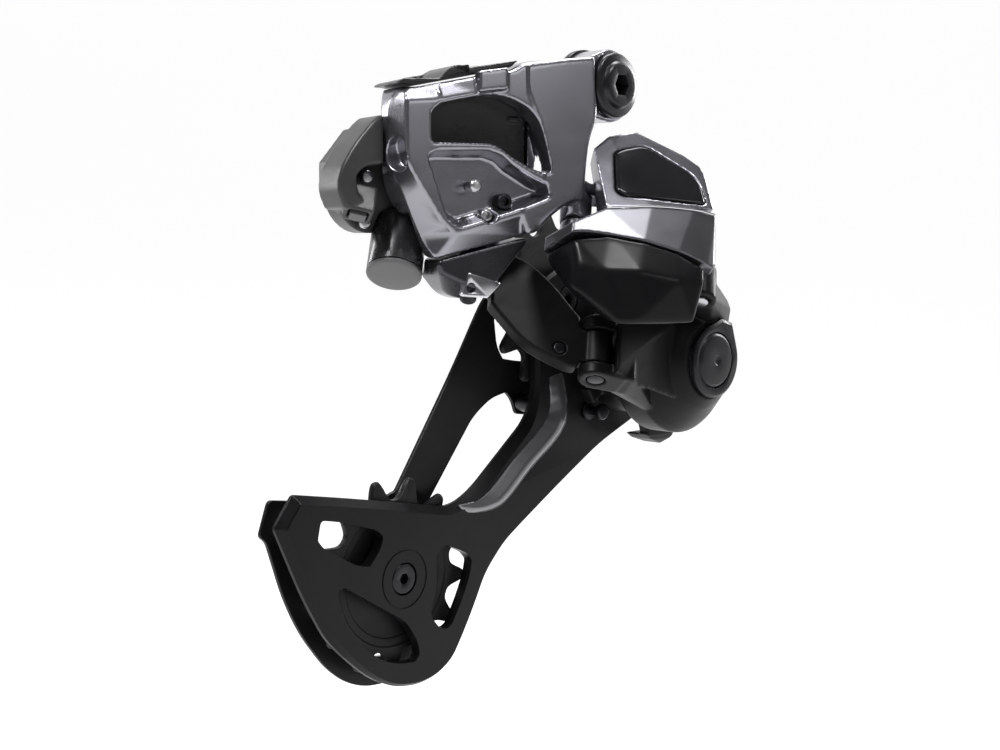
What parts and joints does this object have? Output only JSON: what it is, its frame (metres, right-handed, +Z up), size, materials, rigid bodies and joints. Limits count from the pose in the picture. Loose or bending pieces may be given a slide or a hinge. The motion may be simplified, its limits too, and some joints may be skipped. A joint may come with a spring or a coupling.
{
  "type": "rear bicycle derailleur",
  "caption": "Electronic rear derailleur: knuckle with battery, parallelogram links, clutch knuckle and sprung cage with toothed pulleys.",
  "frame": {"origin": "on the mounting bolt's axis, at the face that seats on the bicycle's hanger", "axes": "+X forward along the bicycle, +Y inboard along the mounting bolt towards the hanger, +Z up"},
  "size_m": [0.1655, 0.0844, 0.19],
  "materials": {
    "polished_grey_alloy": "satin anodised grey, glossy highlights",
    "charcoal_alloy": "dark grey anodised",
    "satin_black_alloy": "satin black anodised",
    "matte_black_alloy": "matte black",
    "satin_black_polymer": "satin black moulded",
    "gloss_black_panel": "gloss black",
    "light_grey_polymer": "light grey moulded",
    "board": "circuit board",
    "steel": "bright steel",
    "black_steel": "black oxide steel",
    "bronze": "sintered bronze"
  },
  "bodies": {
    "hanger_mount": {"mount_bolt": "black_steel", "stop_plate": "black_steel"},
    "b_knuckle": {"b_knuckle_body": "polished_grey_alloy", "b_knuckle_tip": "charcoal_alloy", "battery_pack": "satin_black_polymer", "control_board": "board", "back_cover": "satin_black_polymer", "motor_housing": "satin_black_polymer", "motor_can": "satin_black_alloy", "motor_can_cap": "satin_black_alloy", "drive_gearbox": "charcoal_alloy", "b_tension_screw": "steel", "pocket_screw_bright": "steel", "pocket_screw_dark": "black_steel", "limit_pin": "steel", "motor_bolt_a": "steel", "motor_bolt_b": "steel", "motor_bolt_c": "steel", "outer_link_pin_b": "steel", "inner_link_pin_b": "black_steel"},
    "battery_cover": {"battery_cover": "satin_black_polymer"},
    "function_button": {"function_button": "light_grey_polymer"},
    "outer_link": {"outer_link_body": "polished_grey_alloy", "badge_panel": "gloss_black_panel", "outer_link_bush": "bronze", "skid_plate": "satin_black_polymer"},
    "inner_link": {"inner_link_body": "matte_black_alloy", "inner_link_screw": "black_steel"},
    "p_knuckle": {"p_knuckle_housing": "matte_black_alloy", "clutch_cover": "satin_black_alloy", "clutch_cap": "satin_black_alloy", "clutch_unit": "steel", "cage_spring": "steel", "outer_link_pin_p": "steel", "inner_link_pin_p": "steel"},
    "cage": {"outer_plate": "satin_black_alloy", "inner_plate": "satin_black_alloy", "cage_axle": "steel", "stop_pin": "black_steel", "cage_spacer": "black_steel", "guide_bolt": "black_steel", "tension_bolt": "black_steel", "guide_bush": "steel", "tension_bush": "steel"},
    "guide_pulley": {"guide_pulley": "satin_black_polymer", "guide_bearing": "steel"},
    "tension_pulley": {"tension_pulley": "satin_black_polymer", "tension_bearing": "steel"}
  },
  "joints": [
    {"name": "b_pivot", "type": "hinge", "parent": "hanger_mount", "child": "b_knuckle", "pos_m": [0, 0, 0], "axis": [0, 1, 0], "range_deg": [0, 30]},
    {"name": "outer_link_pivot", "type": "hinge", "parent": "b_knuckle", "child": "outer_link", "pos_m": [-0.01154, -0.00831, -0.0386], "axis": [0.4601, 0.3401, 0.8202], "range_deg": [0, 56]},
    {"name": "inner_link_pivot", "type": "hinge", "parent": "b_knuckle", "child": "inner_link", "pos_m": [-0.039, 0.00918, -0.05483], "axis": [0.4601, 0.3401, 0.8202], "range_deg": [0, 56]},
    {"name": "p_knuckle_pivot", "type": "hinge", "parent": "outer_link", "child": "p_knuckle", "pos_m": [0.01789, -0.03334, -0.05448], "axis": [0.4601, 0.3401, 0.8202], "range_deg": [-56, 0]},
    {"name": "cage_pivot", "type": "hinge", "parent": "p_knuckle", "child": "cage", "pos_m": [0.0275, 0, -0.0843], "axis": [0, -1, 0], "range_deg": [0, 110], "stiffness_Nm_per_rad": 0.4, "springref_deg": -85.94},
    {"name": "guide_pulley_spin", "type": "hinge", "parent": "cage", "child": "guide_pulley", "pos_m": [0.0034, 0.0135, -0.0661], "axis": [0, 1, 0], "continuous": true},
    {"name": "tension_pulley_spin", "type": "hinge", "parent": "cage", "child": "tension_pulley", "pos_m": [-0.0677, 0.0135, -0.1447], "axis": [0, 1, 0], "continuous": true},
    {"name": "battery_cover_hinge", "type": "hinge", "parent": "b_knuckle", "child": "battery_cover", "pos_m": [-0.04509, 0.01818, 0.0015], "axis": [-0.9376, 0.2841, -0.2004], "range_deg": [0, 100]},
    {"name": "button_press", "type": "slide", "parent": "b_knuckle", "child": "function_button", "axis": [0.4601, 0.3401, 0.8202], "range_m": [0, 0.0008], "stiffness_N_per_m": 1500, "springref_m": -0.0005}
  ],
  "couplings": [
    {"joint": "inner_link_pivot", "follows": "outer_link_pivot", "ratio": 1},
    {"joint": "p_knuckle_pivot", "follows": "outer_link_pivot", "ratio": -1}
  ]
}
